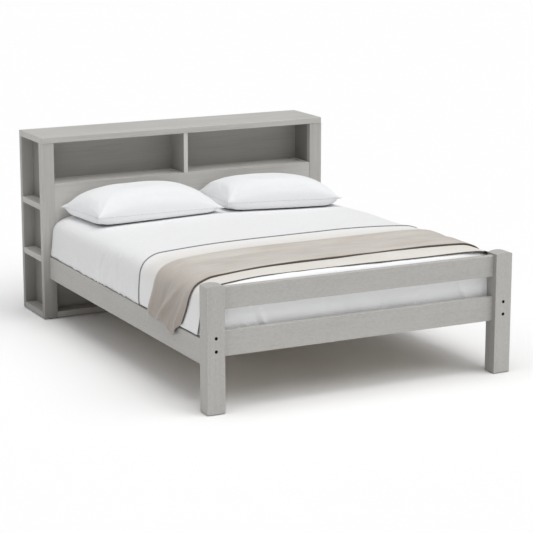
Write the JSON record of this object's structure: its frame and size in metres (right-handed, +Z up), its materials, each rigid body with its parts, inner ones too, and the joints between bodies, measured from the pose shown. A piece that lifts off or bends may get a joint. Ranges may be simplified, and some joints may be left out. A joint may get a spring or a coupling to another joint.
{
  "type": "bookcase headboard bed",
  "caption": "Painted wooden double bed with a bookcase headboard, open front and side shelves, slatted base, a railed foot end, mattress, duvet, throw and pillows.",
  "frame": {"origin": "on the floor, at the middle of the footprint", "axes": "+Z up, +Y towards the headboard, -Y towards the foot end, +X to the right when looking from the foot end to the headboard"},
  "size_m": [1.79, 2.455, 1.05],
  "materials": {
    "painted_wood": "satin",
    "bare_softwood": "matte",
    "dowel_wood": "matte",
    "zinc_steel": "satin",
    "screw_steel": "satin",
    "black_steel": "satin",
    "glide_plastic": "matte",
    "mattress_ticking": "matte",
    "white_cotton": "matte",
    "cream_cotton": "matte",
    "beige_knit": "matte",
    "pillow_cotton": "matte"
  },
  "bodies": {
    "root": {"headboard_top_board": "painted_wood", "front_stile_left": "painted_wood", "front_stile_right": "painted_wood", "rear_stile_left": "painted_wood", "rear_stile_right": "painted_wood", "inner_side_left": "painted_wood", "inner_side_right": "painted_wood", "upper_shelf_left": "painted_wood", "upper_shelf_right": "painted_wood", "lower_shelf_left": "painted_wood", "lower_shelf_right": "painted_wood", "side_base_left": "painted_wood", "side_base_right": "painted_wood", "compartment_shelf": "painted_wood", "compartment_divider": "painted_wood", "compartment_back": "painted_wood", "head_panel": "painted_wood", "inner_web_panel": "painted_wood", "base_board": "painted_wood", "rear_panel": "painted_wood", "foot_post_left": "painted_wood", "foot_post_right": "painted_wood", "foot_rail_top": "painted_wood", "foot_rail_lower": "painted_wood", "side_rail_left": "painted_wood", "side_rail_right": "painted_wood", "head_panel_battens": "bare_softwood", "rear_top_rail": "bare_softwood", "rear_centre_batten": "bare_softwood", "slat_ledge_left": "bare_softwood", "slat_ledge_right": "bare_softwood", "centre_beam": "bare_softwood", "centre_leg_front": "bare_softwood", "centre_leg_rear": "bare_softwood", "slats": "bare_softwood", "carcass_dowels": "dowel_wood", "foot_rail_dowels": "dowel_wood", "corner_bracket_left": "zinc_steel", "corner_bracket_right": "zinc_steel", "rail_hook_plates": "zinc_steel", "hook_receivers": "zinc_steel", "beam_hanger_foot": "zinc_steel", "beam_hanger_head": "zinc_steel", "cam_housings": "zinc_steel", "cam_bolts": "zinc_steel", "wood_screws": "screw_steel", "bracket_screws": "screw_steel", "hook_plate_screws": "screw_steel", "rear_panel_screws": "screw_steel", "slat_screws": "screw_steel", "leg_bolts": "screw_steel", "foot_bolts": "black_steel", "floor_glides": "glide_plastic", "levelling_feet": "glide_plastic"},
    "bedding": {"mattress": "mattress_ticking", "duvet": "white_cotton", "under_blanket": "cream_cotton", "throw_blanket": "beige_knit"},
    "pillow_left": {"pillow_left": "pillow_cotton"},
    "pillow_right": {"pillow_right": "pillow_cotton"}
  },
  "joints": [
    {"name": "mattress_lift", "type": "slide", "parent": "root", "child": "bedding", "axis": [0, 0, 1], "range_m": [0, 0.35]},
    {"name": "pillow_left_lift", "type": "slide", "parent": "bedding", "child": "pillow_left", "axis": [0, 0, 1], "range_m": [0, 0.25]},
    {"name": "pillow_right_lift", "type": "slide", "parent": "bedding", "child": "pillow_right", "axis": [0, 0, 1], "range_m": [0, 0.25]}
  ]
}
